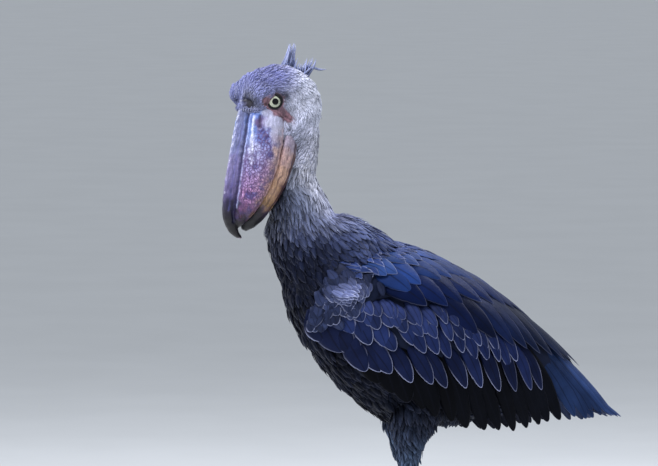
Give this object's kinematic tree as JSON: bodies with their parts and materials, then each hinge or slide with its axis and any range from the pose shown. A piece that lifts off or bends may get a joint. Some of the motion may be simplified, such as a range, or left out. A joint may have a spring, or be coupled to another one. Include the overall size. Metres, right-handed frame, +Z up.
{
  "type": "shoebill",
  "caption": "Life-size shoebill standing still with folded wings and a massive hooked bill resting down against its neck, as a museum display model.",
  "frame": {"origin": "on the floor, under the middle of the whole bird's box", "axes": "+Z up, the bird faces -Y, its left side is +X"},
  "size_m": [0.2778, 0.6822, 1.0503],
  "materials": {
    "head_plumage": "soft matt plumage, pale lavender grey",
    "neck_plumage": "soft matt plumage, grey with pale streaks",
    "body_plumage": "matt plumage, dark slate grey",
    "flight_feathers": "silky feather vanes, dark slate blue",
    "bill_horn": "mottled horn, satin",
    "eye_surface": "wet, clear cornea over a pale iris",
    "leg_skin": "scaly dark skin, matt",
    "claw_horn": "dark horn, satin"
  },
  "bodies": {
    "root": {"head": "head_plumage", "bill_upper": "bill_horn", "bill_lower": "bill_horn", "neck_upper": "neck_plumage", "neck_lower": "neck_plumage", "torso": "body_plumage", "tail": "flight_feathers", "eye_left": "eye_surface", "wing_left": "flight_feathers", "thigh_left": "body_plumage", "shank_left": "leg_skin", "toe_left_middle": "leg_skin", "claw_left_middle": "claw_horn", "toe_left_inner": "leg_skin", "claw_left_inner": "claw_horn", "toe_left_outer": "leg_skin", "claw_left_outer": "claw_horn", "toe_left_hind": "leg_skin", "claw_left_hind": "claw_horn", "eye_right": "eye_surface", "wing_right": "flight_feathers", "thigh_right": "body_plumage", "shank_right": "leg_skin", "toe_right_middle": "leg_skin", "claw_right_middle": "claw_horn", "toe_right_inner": "leg_skin", "claw_right_inner": "claw_horn", "toe_right_outer": "leg_skin", "claw_right_outer": "claw_horn", "toe_right_hind": "leg_skin", "claw_right_hind": "claw_horn"}
  },
  "joints": []
}
